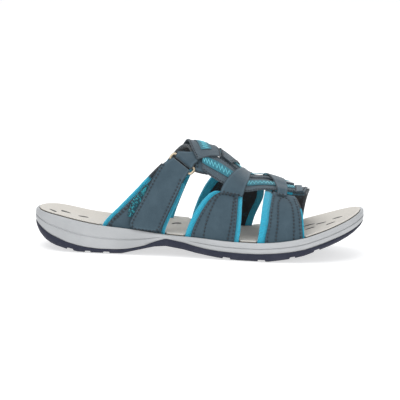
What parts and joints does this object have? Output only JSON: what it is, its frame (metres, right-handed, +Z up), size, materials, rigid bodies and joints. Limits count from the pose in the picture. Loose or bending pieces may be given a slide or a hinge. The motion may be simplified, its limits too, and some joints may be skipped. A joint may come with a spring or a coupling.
{
  "type": "strappy sport sandal",
  "caption": "Slip-on sport sandal for the right foot: padded cross straps, taped ribbons and a ring closure over a contoured footbed and treaded sole.",
  "frame": {"origin": "on the ground under the middle of the footprint", "axes": "+X to the toe, +Y to the inner side of the foot, +Z up"},
  "size_m": [0.262, 0.097, 0.0886],
  "materials": {
    "outsole": "matt moulded rubber, dark navy",
    "midsole": "matt moulded foam, light grey",
    "board": "fibre board",
    "footbed": "soft foam, cream",
    "cover": "brushed textile, cream",
    "upper": "synthetic nubuck, slate blue",
    "padding": "knitted fabric over foam, turquoise",
    "lining": "mesh, black",
    "ribbon": "woven webbing, slate blue",
    "tape": "tape with a zigzag stitch, turquoise",
    "loop": "loop pile, dark turquoise",
    "hook": "hook tape, black",
    "ring": "polished, pale gold"
  },
  "bodies": {
    "sandal": {"outsole": "outsole", "midsole": "midsole", "insole_board": "board", "footbed": "footbed", "footbed_cover": "cover", "instep_outer_lining": "lining", "instep_outer_padding": "padding", "instep_outer_upper": "upper", "instep_inner_lining": "lining", "instep_inner_padding": "padding", "instep_inner_upper": "upper", "mid_outer_lining": "lining", "mid_outer_padding": "padding", "mid_outer_upper": "upper", "mid_inner_lining": "lining", "mid_inner_padding": "padding", "mid_inner_upper": "upper", "toe_outer_lining": "lining", "toe_outer_padding": "padding", "toe_outer_upper": "upper", "toe_inner_lining": "lining", "toe_inner_padding": "padding", "toe_inner_upper": "upper", "ribbon_outer": "ribbon", "ribbon_outer_tape": "tape", "ribbon_ridge": "ribbon", "ribbon_ridge_tape": "tape", "instep_crossover": "ribbon", "instep_crossover_tape": "tape", "rear_band": "ribbon", "mid_keeper": "upper", "toe_keeper": "upper", "toe_band": "upper", "closure_root": "upper", "loop_patch": "loop", "ring_holder": "upper"},
    "ring": {"ring": "ring"},
    "tab": {"closure_tab": "upper", "hook_patch": "hook"}
  },
  "joints": [
    {"name": "ring_swing", "type": "hinge", "parent": "sandal", "child": "ring", "pos_m": [-0.0134, -0.02048, 0.07421], "axis": [-0.7829, 0.3005, 0.5448], "range_deg": [0, 35]},
    {"name": "tab_peel", "type": "hinge", "parent": "ring", "child": "tab", "pos_m": [-0.01724, -0.02328, 0.07023], "axis": [-0.7829, 0.3005, 0.5448], "range_deg": [0, 110]}
  ]
}
